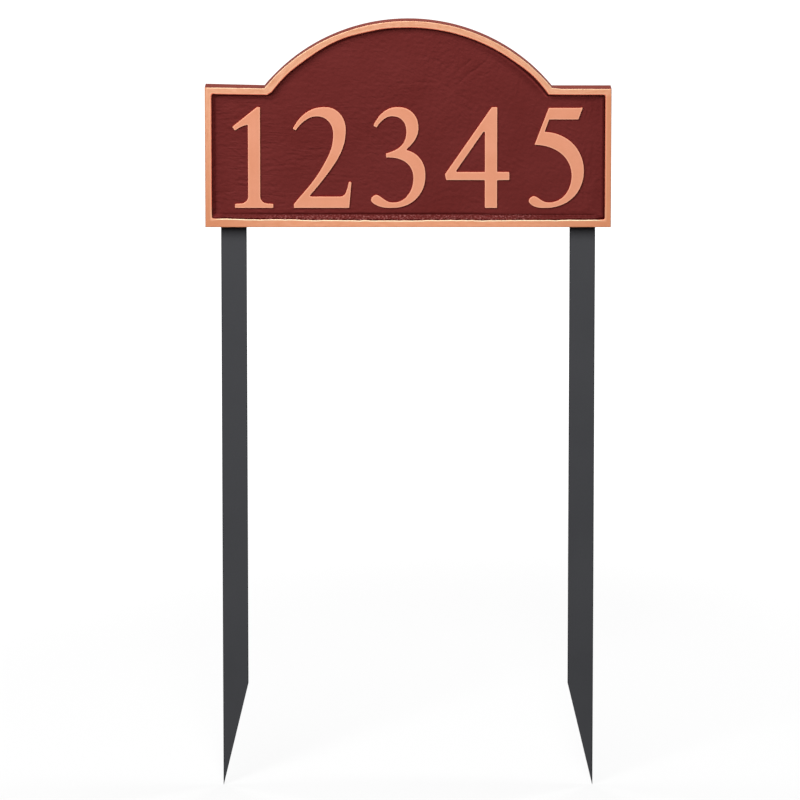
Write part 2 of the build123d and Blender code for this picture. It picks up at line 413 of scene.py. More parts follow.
# Section of the rim, from the back edge round the side, over the border and down the recess wall: each
# stage has its inset, its depth behind the front face, the way it faces (0 is the front, 90 degrees is
# square inward), its share of the way across the border, and its distance from the border's inner edge
def rim_section():
    def side_inset(depth):
        return side_draft * (depth - front_edge_radius) / plaque_thickness

    section = []
    for turn in np.radians([90, 60, 30, 0]):
        depth = plaque_thickness - back_edge_radius * (1 - math.sin(turn))
        inset = side_inset(depth) + back_edge_radius * (1 - math.cos(turn))
        section.append((inset, depth, -math.pi / 2))
    for depth in (9.6, 6.8, 4.2, 2.2):
        section.append((side_inset(depth), depth, -math.pi / 2))
    for turn in np.radians([0, 22, 45, 68, 90]):
        inset = front_edge_radius * (1 - math.cos(turn))
        section.append((inset, front_edge_radius * (1 - math.sin(turn)), turn - math.pi / 2))
    mouth_start = border_width - front_edge_radius * math.tan(wall_angle / 2)
    for share in (0.14, 0.3, 0.5, 0.7, 0.86):
        section.append((front_edge_radius + (mouth_start - front_edge_radius) * share, 0.0, 0.0))
    for turn in np.linspace(0, wall_angle, 6):
        inset = mouth_start + front_edge_radius * math.sin(turn)
        section.append((inset, front_edge_radius * (1 - math.cos(turn)), turn))
    foot_end = border_width + wall_spread + foot_radius * math.tan(wall_angle / 2)
    wall_top = section[-1]
    wall_low_inset = foot_end - foot_radius * math.sin(wall_angle)
    wall_low_depth = recess_depth - foot_radius * (1 - math.cos(wall_angle))
    for share in np.arange(1, 12) / 12:
        inset = wall_top[0] + (wall_low_inset - wall_top[0]) * share
        section.append((inset, wall_top[1] + (wall_low_depth - wall_top[1]) * share, wall_angle))
    for turn in np.linspace(wall_angle, 0, 6):
        inset = foot_end - foot_radius * math.sin(turn)
        section.append((inset, recess_depth - foot_radius * (1 - math.cos(turn)), turn))
    along = [0.0]
    for (inset, depth, _), (inset_next, depth_next, _) in zip(section, section[1:]):
        along.append(along[-1] + math.hypot(inset_next - inset, depth_next - depth))
    mouth = next(number for number, stage in enumerate(section) if stage[0] >= mouth_start)
    insets = np.array([inset for inset, _, _ in section])
    across = np.clip((insets - front_edge_radius) / (mouth_start - front_edge_radius), 0, 1)
    return [(*stage, share, place - along[mouth]) for stage, share, place in zip(section, across, along)]


# Folds in the cast field as the photograph shows them: each a start, an end, a bow, a width and a depth
def field_folds():
    folds = [
        ((44, 141), (82, 172), 0.6, 1.3, 0.42),
        ((44, 146), (72, 162), 0.8, 1.3, 0.26),
        ((47, 158), (64, 171), -0.6, 1.3, 0.34),
        ((22, 171), (37, 164), 0.5, 1.4, 0.32),
        ((4, 187), (20, 185), 0.4, 1.3, 0.24),
        ((24, 172), (39, 158), 1.0, 1.3, 0.30),
        ((31, 146), (47, 135), 0.6, 1.3, 0.42),
        ((47, 135), (69, 124), -0.8, 1.3, 0.34),
        ((5, 147), (28, 145), 0.8, 1.3, 0.42),
        ((14, 156), (33, 149), -1.0, 1.2, 0.28),
        ((58, 146), (88, 158), 1.2, 1.4, 0.24),
        ((40, 127), (60, 115), 1.0, 1.3, 0.24),
        ((110, 127), (111, 158), 0.3, 1.3, 0.24),
        ((104, 131), (105, 152), -0.4, 1.2, 0.15),
        ((-41, 95), (-33, 87), 0.8, 1.2, 0.34),
    ]
    for number in range(7):
        start, end = (14 + 7 * number, 80 - 3 * number), (36 + 7 * number, 58 - 4 * number)
        folds.append((start, end, -1.2, 1.3, 0.24))
    for number in range(6):
        low = (163 + 4.2 * number, 22 + 11 * (number % 3))
        folds.append((low, (167 + 3.4 * number, 72 + 16 * (number % 2)), 3.5, 1.5, 0.28))
    return folds


# Shallow fold, bowed to its left: 1 along its line and 0 a few widths away
def fold(x, z, start, end, bow, width):
    start, end = np.array(start), np.array(end)
    length = np.hypot(*(end - start))
    along = (end - start) / length
    reach = ((x - start[0]) * along[0] + (z - start[1]) * along[1]) / length
    off = (z - start[1]) * along[0] - (x - start[0]) * along[1] - 4 * bow * reach * (1 - reach)
    return hump(off, 0, width) * band(reach, 0, 0.25, 1, 0.25)


# Points of the field's net: close together along the folds and wider apart elsewhere
def field_net(clear):
    near_fold = []
    for step in (field_step, fold_step):
        net = triangle_net((-half_width, 0), (half_width, outline_height), step)
        net = net[field_room(net, clear) > 0]
        folded = np.zeros(len(net))
        for start, end, bow, width, _ in field_folds():
            folded = np.maximum(folded, fold(net[:, 0], net[:, 1], start, end, bow, 2.4 * width))
        near_fold.append(net[(folded > 0.2) == (step == fold_step)])
    return np.concatenate(near_fold)


# How far the cast field sinks behind the field plane, in its middle
def field_relief(x, z):
    drift_x = x + 6 * lumps(x, z, 34, 26, 3.1)
    drift_z = z + 3.5 * lumps(x, z, 30, 20, 7.7)
    left = ease((-x + 10) / 110)
    relief = 0.1 * (0.3 + 0.7 * left) * (1 - 2.2 * np.abs(lumps(drift_x, drift_z, 24, 7, 17.9)))
    relief += 0.1 * lumps(x, z, 46, 32, 29.9)
    waver_x, waver_z = 1.2 * lumps(x, z, 7, 7, 71.3), 1.2 * lumps(x, z, 7, 7, 73.9)
    for start, end, bow, width, depth in field_folds():
        relief += depth * fold(x + waver_x, z + waver_z, start, end, bow, width)
    return relief + 0.04


# Right side's narrower border, as the photograph shows it
def right_move(x):
    return right_border_loss * ease((x - half_width + 60) / 45)


# How far the edge of the recess wanders inward from its drawn line, as the photograph shows it
def mouth_wander(x, low, left_side, arch):
    notches = 0.45 * band(x, -44, 10, 22, 12) + 0.5 * hump(x, -49, 5) + 0.4 * hump(x, 74, 9)
    wander = -low * (notches + 0.12) - 0.4 * left_side
    haunch = 1.5 * hump(x, -138, 16) + 0.7 * hump(x, -105, 14) - 0.95 * hump(x, -66, 17)
    return wander + arch * (haunch - 0.3 * hump(x, -25, 14) - 0.9 * hump(x, 122, 12))


# How far the two ends of the bottom border's inner edge lie above their drawn line
def end_lift(x, z):
    left_end = 0.75 * ease((-x - 97) / 22) + 0.9 * ease((-x - 150) / 40)
    return (left_end + 0.25 * ease((x - 140) / 20)) * ease((20 - z) / 12)


# How far each shoulder's top edge lies off its drawn line: the left one leans, the right one rolls over
def shoulder_lift(x, z, depth, across):
    on_top = ease((z - shoulder_height + 24) / 20)
    back = np.clip((depth - 1) / (plaque_thickness - 1), 0, 1)
    leaning = np.clip((-x - arch_span / 2) / (half_width - arch_span / 2), 0, 1)
    front_lift = (0.95 * leaning - 0.35) * (1 - back) * ease((-x - 128) / 12)
    back_lift = (1.4 * leaning + 0.25) * back * ease((-x - 128) / 12)
    rolled = (0.6 * across - 0.9) * (1 - back) * ease((x - 140) / 14)
    return on_top * (front_lift + back_lift + rolled)


# Rings of the rim as drawn, one for each stage of its section
def drawn_rings(section):
    rings = []
    for inset, _, _, share, _ in section:
        low_inset = inset + (lower_border_width - border_width) * share
        corner = outer_corner_radius + (recess_corner_radius - outer_corner_radius) * share
        notch = outer_corner_radius + (notch_radius - outer_corner_radius) * share
        rings.append(outline(inset, low_inset, corner, notch))
    return np.array(rings)


# Parts of the rim, each 1 on its part and 0 off it: bottom, top, arch, left side and right side
def rim_parts(outer):
    x, z = outer[None, :, 0], outer[None, :, 1]
    low = ease((16 - z) / 12) * ease((half_width - np.abs(x)) / 9)
    top = ease((z - shoulder_height + 8) / 6) * ease((half_width - np.abs(x)) / 3)
    sides = (1 - low) * (1 - top)
    return low, top, ease((z - shoulder_height) / 4), sides * (x < 0), sides * (x > 0)


def on_wall(place):
    return band(place, 0.6, 0.8, 9.4, 1.2)


# Rings of the rim as cast. The bottom wall is rougher than the rest: a ledge, a groove at its foot and a
# ragged lip. Place is the distance past the border's inner edge, down the wall; it is negative before it
def cast_rings(section, rings, parts):
    low, _, arch, left_side, _ = parts
    x, z = rings[:, :, 0], rings[:, :, 1]
    _, depth, facing, across, place = (np.array(column)[:, None] + 0 * x for column in zip(*section))
    heading = np.roll(rings, -1, axis=1) - np.roll(rings, 1, axis=1)
    heading /= np.linalg.norm(heading, axis=2, keepdims=True)

    waver = lumps(x, np.full_like(x, 2.0), 17, 1, 31.1) + 0.7 * lumps(x, np.full_like(x, 5.0), 4.5, 1, 37.3)
    still = lumps(x + z, np.full_like(x, 9.0), 12, 1, 41.9)
    shift = band(place, -4.5, 3.5, 6.5, 5) * (0.3 * low * waver + 0.14 * (1 - low) * still)
    with_mouth = band(place, -4.5, 3.5, 8.5, 4)
    shift += with_mouth * mouth_wander(x, low, left_side, arch)
    lift = shoulder_lift(x, z, depth, across) * ease((7 - place) / 4) + end_lift(x, z) * with_mouth

    ledge = hump(place, 7.2, 0.75) * (0.8 + 0.6 * lumps(x, place, 9, 3, 43.3))
    groove = hump(place, 9.1, 0.7)
    under_lip = hump(place, 1.9, 0.6)
    rough = lumps(x, place, 2.3, 1.6, 47.7) + 0.7 * lumps(x, place, 5.5, 1.2, 53.9)
    rough *= 0.35 + 0.65 * band(x, -170, 60, 140, 40)
    bulge = low * (0.65 * ledge - 0.55 * groove - 0.45 * under_lip + 0.5 * on_wall(place) * rough)
    bulge += (1 - low) * on_wall(place) * 0.08 * lumps(x, z, 7, 7, 59.1)
    bulge += 0.04 * band(place, -6.2, 1.0, 0.4, 0.8) * lumps(x, z, 9, 7, 61.7)

    inward = shift + bulge * np.sin(facing)
    return np.stack([
        x - heading[:, :, 1] * inward + right_move(x) * across,
        np.maximum(plaque_front + depth - bulge * np.cos(facing), plaque_front),
        z + heading[:, :, 0] * inward + lift,
    ], axis=2)


# Values that the finish follows: the border's painted edge light and shade, and painted shade and light on
# the walls
def rim_values(x, place, parts):
    low, top, arch, left_side, right_side = parts
    outer_rim = ease((-5.0 - place) / 1.2)
    left_arch = arch * ease((-x - 15) / 35)
    # Painted shade: the enamel darkens just below the border's inner edge, down the walls and in the bottom
    # groove
    recess_shade_reach = 3.4 * low + 8.5 * top + 2.6 * left_side + 5.0 * right_side
    shaded_wall = 0.3 * (1 - low) * (1 - left_side) * band(place, 0.6, 0.4, 9.5, 3)
    groove_line = (0.4 + 0.4 * ease((x + 170) / 40)) * hump(place, 9.65 - 0.7 * ease((x - 60) / 30), 0.65)
    groove_line += 0.55 * hump(place, 5.6, 0.6) * ease((x - 70) / 30)
    seam = np.maximum(band(place, 0.45, 0.3, recess_shade_reach, 0.9), np.maximum(shaded_wall, low * groove_line))
    on_arch_loss = 0.28 + 0.22 * ease((x - 20) / 40)
    seam = seam * (1 - top * (0.55 * (1 - arch) + on_arch_loss * arch)) * (1 - left_arch)
    # Painted light: the enamel is paler on the left wall, at the foot of the top wall and on the arch's
    # left wall
    painted_light_wall = left_side * band(place, 2.1, 1.0, 9.4, 1.6)
    painted_light_wall += top * (1 - 0.6 * arch) * ease((place - 8.3) / 0.8)
    return {
        # Painted highlights on the inner edge, the top edge and the bottom lip; painted shade on the outer
        # edges
        "inner_rim": band(place, -1.6, 1.3, 1.0, 0.6) * (1 - low) * (1 - 0.3 * right_side),
        "outer_rim": outer_rim * (1 - top),
        "top_rim": outer_rim * top * (1 - 0.6 * hump(x, 0, 100)),
        "low_lip": low * band(place, -3.0, 1.0, 4.0, 1.0),
        "seam": seam,
        "painted_light_wall": np.maximum(painted_light_wall, left_arch * ease((place - 0.9) / 0.5)),
        # Where the bottom wall gets painted glints among dark specks
        "glints_and_specks": low * on_wall(place) * (0.2 + 0.8 * band(x, -150, 20, 138, 30)),
    }


# Soft shade of the border on the field, at the right half of the arch and, fainter, at the shoulders
def field_shade(net, room):
    x, z = net[:, 0], net[:, 1]
    on_arch = ease((z - shoulder_height + 8) / 8)
    share = 0.12 * (1 - on_arch) + 0.34 * on_arch * ease((x - 35) / 45)
    return share * band(room, 0.0, 1.4, 9.5, 9.0) * ease((z - shoulder_height + 32) / 10)


# Map of the rim for brush strokes: the distance round it, and across it from the border's inner edge
def lay_border_run(casting, outer, places):
    steps = np.linalg.norm(np.roll(outer, -1, axis=0) - outer, axis=1)
    along = np.concatenate([[0.0], np.cumsum(steps)])
    quad_along = np.stack([along[:-1], along[1:], along[1:], along[:-1]], axis=1)
    quad_across = np.stack([places[:-1], places[:-1], places[1:], places[1:]], axis=1)
    run = np.zeros((len(casting.data.loops), 2), dtype=np.float32)
    rim_corners = quad_along.size * len(quad_across)
    run[:rim_corners, 0] = np.tile(quad_along, (len(quad_across), 1)).ravel() * mm
    run[:rim_corners, 1] = np.repeat(quad_across, len(outer), axis=0).ravel() * mm
    casting.data.uv_layers.new(name="border_run").data.foreach_set("uv", run.ravel())


def plaque_casting():
    section = rim_section()
    rings = drawn_rings(section)
    outer = rings[next(number for number, stage in enumerate(section) if stage[1] <= front_edge_radius)]
    places = np.array([stage[-1] for stage in section])
    parts = rim_parts(outer)
    rim = cast_rings(section, rings, parts)
    shape = Shape()
    ring_names = [shape.add(ring) for ring in rim]
    shape.join(ring_names)

    # Field, on a net of triangles that joins the last ring of the rim
    foot_inset = section[-1][0]
    net = field_net(foot_inset + field_step * 0.5)
    room = field_room(net, foot_inset)
    shade = field_shade(net, room)
    relief = field_relief(net[:, 0], net[:, 1]) * ease(room / 4)
    net[:, 0] += right_move(net[:, 0])
    field_names = shape.cover([rim[-1][:, [0, 2]]], [ring_names[-1]], net, field_plane + relief)

    # Back, flat but for its bosses
    foot = boss_radius + boss_foot_radius
    centres = boss_centres()
    circle = arc((0, 0), 1, 0, 360, boss_points)
    feet = [centre + foot * circle for centre in centres]
    foot_names = [shape.add(set_at(ring, back_plane)) for ring in feet]
    net = triangle_net((-half_width, 0), (half_width, outline_height), back_step)
    off_bosses = [np.hypot(*(net - centre).T) > foot + back_step / 3 for centre in centres]
    on_back = field_room(net, side_draft + back_edge_radius + back_step / 2) > 0
    net = net[on_back & np.all(off_bosses, axis=0)]
    loops = [rim[0][:, [0, 2]], *feet]
    shape.cover(loops, [ring_names[0], *foot_names], net, back_plane, faces_back=True)
    for centre, names in zip(centres, foot_names):
        add_boss(shape, centre, circle, names)

    casting = shape.piece("plaque_casting", rise=plaque_low.z)
    rim_names = np.concatenate(ring_names)
    for label, values in rim_values(rings[:, :, 0], places[:, None], parts).items():
        set_value(casting, label, rim_names, np.broadcast_to(values, rim.shape[:2]).ravel())
    set_value(casting, "field_shade", field_names, shade)
    lay_border_run(casting, outer, places)
    return casting


# How far a point lies inside the outline moved in by inset
def field_room(net, inset):
    off_sides = half_width - inset - np.abs(net[:, 0])
    off_shoulder = shoulder_height - inset - net[:, 1]
    off_arch = arch_radius - inset - np.hypot(net[:, 0], net[:, 1] - arch_centre)
    off_top = np.maximum(np.minimum(off_shoulder, off_sides), off_arch)
    off_edge = np.where(net[:, 1] > shoulder_height / 2, off_top, off_sides)
    return np.minimum(off_edge, net[:, 1] - inset - (lower_border_width - border_width))


def boss_centres():
    centres = []
    for side in ("left", "right"):
        for level in ("lower", "upper"):
            low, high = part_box(f"stake_screw_{side}_{level}")
            middle = (low + high) / 2 / mm
            centres.append(np.array([middle.x, middle.z - plaque_low.z]))
    return centres


# Boss: its foot runs out into the back, and a blind hole takes the screw
def add_boss(shape, centre, circle, foot_names):
    section = []
    for turn in np.radians([22, 45, 68, 90]):
        rise = boss_foot_radius * (1 - math.cos(turn))
        section.append((boss_radius + boss_foot_radius * (1 - math.sin(turn)), back_plane + rise))
    for turn in np.radians([0, 45, 90]):
        drop = boss_edge_radius * (1 - math.sin(turn))
        section.append((boss_radius - boss_edge_radius * (1 - math.cos(turn)), boss_seat - drop))
    hole_end = boss_seat - boss_hole_depth
    section += [(boss_hole_radius, boss_seat), (boss_hole_radius, hole_end)]
    rings = [foot_names] + [shape.add(set_at(centre + radius * circle, y)) for radius, y in section]
    shape.join([ring[::-1] for ring in rings])
    middle = np.repeat(shape.add(set_at(centre[None, :], hole_end)), boss_points)
    shape.faces += np.stack([np.roll(rings[-1], -1), rings[-1], middle], axis=1).tolist()


# Closed loops round a node's flat back, as (x, z); the outer loop runs with the material on its left as
# seen from the front, and a hole the other way
def back_loops(node):
    places = np.array([tuple(vertex.co) for vertex in node.data.vertices]) / mm
    names, corner_of = {}, []
    for x, _, z in places:
        corner_of.append(names.setdefault((round(float(x), 3), round(float(z), 3)), len(names)))
    corners = list(names)
    runs = set()
    for polygon in node.data.polygons:
        if all(places[k][1] > field_plane - 0.01 for k in polygon.vertices):
            ring = [corner_of[k] for k in polygon.vertices]
            runs |= set(zip(ring, ring[1:] + ring[:1]))
    following = {a: b for a, b in runs if (b, a) not in runs}
    loops = []
    while following:
        start, here = following.popitem()
        loop = [start]
        while here != start:
            loop.append(here)
            here = following.pop(here)
        loops.append(np.array([corners[k] for k in reversed(loop)]))
    areas = [signed_area(loop) for loop in loops]
    if max(areas, key=abs) < 0:
        loops = [loop[::-1] for loop in loops]
    return loops


def signed_area(loop):
    following = np.roll(loop, -1, axis=0)
    return float(np.sum(loop[:, 0] * following[:, 1] - following[:, 0] * loop[:, 1])) / 2


# Even points along a loop, on smooth curves through its corners; a sharp corner stays sharp
def smooth_loop(loop):
    chord = np.roll(loop, -1, axis=0) - loop
    length = np.linalg.norm(chord, axis=1)
    way = chord / length[:, None]
    way_in, length_in = np.roll(way, 1, axis=0), np.roll(length, 1)
    turn = np.degrees(np.arccos(np.clip(np.sum(way * way_in, axis=1), -1, 1)))
    blend = way_in * length[:, None] + way * length_in[:, None]
    blend /= np.linalg.norm(blend, axis=1)[:, None]
    blend = np.where((length_in > straight_ratio * length)[:, None], way_in, blend)
    blend = np.where((length > straight_ratio * length_in)[:, None], way, blend)
    sharp = (turn > corner_turn)[:, None]
    leave, arrive = np.where(sharp, way, blend), np.roll(np.where(sharp, way_in, blend), -1, axis=0)
    points = []
    for k, start in enumerate(loop):
        count = max(1, math.ceil(length[k] / outline_step))
        share = (np.arange(count) / count)[:, None]
        end, pull = start + chord[k], length[k]
        points.append(
            start * (2 * share**3 - 3 * share**2 + 1) + end * (3 * share**2 - 2 * share**3)
            + pull * leave[k] * (share**3 - 2 * share**2 + share) + pull * arrive[k] * (share**3 - share**2)
        )
    return np.concatenate(points)


def moved_out(loop, distance):
    way = np.roll(loop, -1, axis=0) - loop
    way /= np.linalg.norm(way, axis=1)[:, None]
    out = np.stack([way[:, 1], -way[:, 0]], axis=1)
    both = out + np.roll(out, 1, axis=0)
    return loop + distance * both / np.maximum(np.sum(both * both, axis=1) / 2, 0.8)[:, None]


def off_outline(points, loops):
    nearest = np.full(len(points), 1e9)
    for loop in loops:
        for start, end in zip(loop, np.roll(loop, -1, axis=0)):
            way = end - start
            share = np.clip(((points - start) @ way) / (way @ way), 0, 1)[:, None]
            nearest = np.minimum(nearest, np.linalg.norm(points - start - share * way, axis=1))
    return nearest


def numeral_plate(name, node):
    loops = [smooth_loop(loop) for loop in back_loops(node)]
    section = [(numeral_foot, field_plane + numeral_bed), (numeral_foot, field_plane - numeral_foot_side)]
    for turn in np.radians([30, 60, 90]):
        rise = numeral_foot_side + (numeral_foot_rise - numeral_foot_side) * (1 - math.cos(turn))
        section.append((numeral_foot * (1 - math.sin(turn)), field_plane - rise))
    for turn in np.radians([0, 30, 60, 90]):
        drop = numeral_edge * (1 - math.sin(turn))
        section.append((-numeral_edge * (1 - math.cos(turn)), numeral_low.y + drop))
    shape = Shape()
    ends = []
    for loop in loops:
        rings = [moved_out(loop, reach) for reach, _ in section]
        names = [shape.add(set_at(ring, y)) for ring, (_, y) in zip(rings, section)]
        shape.join(names)
        ends.append((rings[0], names[0], rings[-1], names[-1]))
    back, back_names, face, face_names = zip(*ends)
    net = triangle_net(loops[0].min(axis=0), loops[0].max(axis=0), face_step)
    net = net[within(net, face)]
    net = net[off_outline(net, face) > face_clear]
    shape.cover(face, face_names, net, numeral_low.y)
    shape.cover(back, back_names, np.zeros((0, 2)), field_plane, faces_back=True)
    plate = shape.piece(name)
    off_edge = off_outline(np.concatenate(shape.points)[:, [0, 2]], loops)
    # Painted highlight along the numeral's edges
    set_value(plate, "rim", slice(None), 1 - ease((off_edge - 0.25) / numeral_rim))
    return plate


# Finishes
copper_light, copper_dark = (0.77, 0.355, 0.20), (0.67, 0.28, 0.145)
copper_streak, copper_full = (0.90, 0.47, 0.30), (0.84, 0.32, 0.17)
# Painted highlight for the inner edge; painted shade for the outer edges, the lower ends and the right
copper_inner_highlight, copper_outer_shade, copper_painted_shade = (0.90, 0.50, 0.31), (0.70, 0.255, 0.115), (0.69, 0.27, 0.138)
# Redder tone for rounded edges; cream painted highlight for the top edge and the bottom lip
copper_edge, cream_highlight = (0.82, 0.19, 0.115), (0.91, 0.85, 0.57)
numeral_light, numeral_dark = (0.82, 0.345, 0.212), (0.765, 0.31, 0.18)
numeral_rim_highlight = (0.93, 0.45, 0.29)
numeral_side_brown, numeral_foot_red = (0.18, 0.012, 0.010), (0.22, 0.010, 0.010)
burgundy_light, burgundy_dark = (0.178, 0.0285, 0.0265), (0.157, 0.0235, 0.0215)
# Dark enamel for painted shade and for dark specks; pink enamel for painted glints on the bottom wall
burgundy_shade_and_specks, burgundy_painted_glint = (0.032, 0.0004, 0.0003), (0.42, 0.155, 0.145)
# Paler enamel painted on as light on some walls; browner enamel on the casting's sides
burgundy_painted_light, burgundy_side = (0.25, 0.038, 0.035), (0.155, 0.024, 0.015)
coat_light, coat_dark, coat_edge_shade = (0.077, 0.078, 0.084), (0.069, 0.070, 0.076), (0.02, 0.02, 0.022)
zinc_light, zinc_dark = (0.66, 0.66, 0.65), (0.52, 0.53, 0.54)


def socket_label(name):
    return name.replace("_", " ").title()


# Group that takes a place, colours and numbers; each number is given with its usual value
def new_group(name, outputs, colours=(), **numbers):
    tree = bpy.data.node_groups.new(name, "ShaderNodeTree")

    def new_socket(label, kind, way="INPUT"):
        return tree.interface.new_socket(name=label, in_out=way, socket_type="NodeSocket" + kind)

    new_socket("Place", "Vector")
    for label in colours:
        new_socket(label, "Color")
    for label, value in numbers.items():
        new_socket(socket_label(label), "Float").default_value = value
    for label, kind in outputs.items():
        new_socket(label, kind, "OUTPUT")
    group = Nodes(tree)
    return group, group.add("NodeGroupInput", {})


# Paint that lies a little thicker in some places: its colour drifts between two tones
def make_drift_group():
    group, given = new_group(
        "tone_drift", {"Tone": "Color", "Value": "Float"}, ("Light Tone", "Dark Tone"),
        patch_scale=20.0, grain_scale=900.0, grain_share=0.3,
    )
    patches = group.map(group.noise(given["Place"], given["Patch Scale"], 3.0), 0.3, 0.7)
    grain = group.map(group.noise(given["Place"], given["Grain Scale"]), 0.25, 0.75)
    grain = group.times(group.minus(grain, 0.5), given["Grain Share"])
    value = group.math("ADD", patches, grain, clamp=True)
    tone = group.over(given["Dark Tone"], (value, given["Light Tone"]))
    group.add("NodeGroupOutput", {"Tone": tone, "Value": value})
    return group.tree


# Fine skin of sprayed or baked paint, as a height
def make_skin_group():
    group, given = new_group(
        "paint_skin", {"Height": "Float"}, pebble_scale=700.0, ripple_scale=160.0, ripple_share=0.5
    )
    pebbles = group.noise(given["Place"], given["Pebble Scale"])
    ripples = group.noise(given["Place"], given["Ripple Scale"], 1.0)
    height = group.plus(pebbles, group.times(ripples, given["Ripple Share"]))
    group.add("NodeGroupOutput", {"Height": height})
    return group.tree


# Brush streaks that follow a run: Place is the distance along it and across it
def make_streak_group():
    group, given = new_group("brush_streaks", {"Value": "Float"}, long_scale=110.0, cross_scale=380.0)
    size = group.add("ShaderNodeCombineXYZ", {0: given["Long Scale"], 1: given["Cross Scale"]})[0]
    run = group.vector("MULTIPLY", given["Place"], size)
    group.add("NodeGroupOutput", {"Value": group.map(group.noise(run, 1.0, 3.0), 0.28, 0.72)})
    return group.tree


# Wavering wrinkles in a cast surface, as a height: long along one way and close across it
def make_wrinkle_group():
    group, given = new_group(
        "cast_wrinkles", {"Height": "Float"}, turn=0.0, long_scale=45.0, cross_scale=190.0, waver=0.006
    )
    drift = group.add("ShaderNodeTexNoise", {"Vector": given["Place"], "Scale": 38.0})["Color"]
    reach = group.add("ShaderNodeCombineXYZ", {0: given["Waver"], 2: given["Waver"]})[0]
    waver = group.vector("MULTIPLY", group.vector("SUBTRACT", drift, (0.5, 0.5, 0.5)), reach)
    inputs = {"Vector": group.vector("ADD", given["Place"], waver), "Angle": given["Turn"]}
    turned = group.add("ShaderNodeVectorRotate", inputs, rotation_type="Y_AXIS")[0]
    size = group.add("ShaderNodeCombineXYZ", {0: given["Long Scale"], 2: given["Cross Scale"]})[0]
    run = group.vector("MULTIPLY", turned, size)
    off_line = group.off_zero(group.minus(group.noise(run, 1.0, 1.0), 0.5))
    group.add("NodeGroupOutput", {"Height": group.map(off_line, 0.0, 0.22, 1.0, 0.0)})
    return group.tree


class Finish(Nodes):
    def __init__(self, name):
        self.material = bpy.data.materials.new(name)
        self.material.use_nodes = True
        super().__init__(self.material.node_tree)
        self.place = self.add("ShaderNodeTexCoord", {})["Object"]

    def set(self, **values):
        for name, value in values.items():
            self.feed(self.tree.nodes["Principled BSDF"].inputs[name.replace("_", " ")], value)

    def use(self, group, place=None, **values):
        inputs = {socket_label(name): value for name, value in values.items()}
        return self.add("ShaderNodeGroup", {"Place": place or self.place, **inputs}, node_tree=group)

    def value(self, label):
        return self.add("ShaderNodeAttribute", {}, attribute_name=label)["Fac"]

    # Millimetres along each axis of a place
    def split(self, place):
        return self.add("ShaderNodeSeparateXYZ", {0: self.vector("MULTIPLY", place, (1 / mm,) * 3)})

    def bump(self, height, depth, strength=1.0):
        inputs = {"Height": height, "Distance": depth, "Strength": strength}
        self.set(Normal=self.add("ShaderNodeBump", inputs)["Normal"])


# Height of the cast field's fine wrinkles, in millimetres
def wrinkle_height(finish, x, skin, wrinkles):
    patch = finish.map(finish.noise(finish.place, 22.0, 1.0), 0.35, 0.62, 0.35, 1.0)
    level = finish.use(wrinkles)["Height"]
    sloping = finish.use(wrinkles, turn=-0.6, long_scale=70.0, cross_scale=170.0)["Height"]
    steep = finish.use(wrinkles, turn=1.35, long_scale=60.0, cross_scale=150.0)["Height"]
    wrinkled = finish.plus(
        finish.times(level, finish.map(x, 20, -90, 0.25, 1.0), 0.5),
        finish.times(sloping, 0.45),
        finish.times(steep, finish.map(x, 130, 175), 0.4),
    )
    middle = finish.map(finish.off_zero(finish.minus(x, 30)), 20, 90, 1.3, 0.9)
    lumpy = finish.times(finish.noise(finish.place, 230.0), middle)
    pebbles = finish.times(finish.use(skin)["Height"], 0.2)
    return finish.plus(finish.times(wrinkled, patch), lumpy, pebbles)


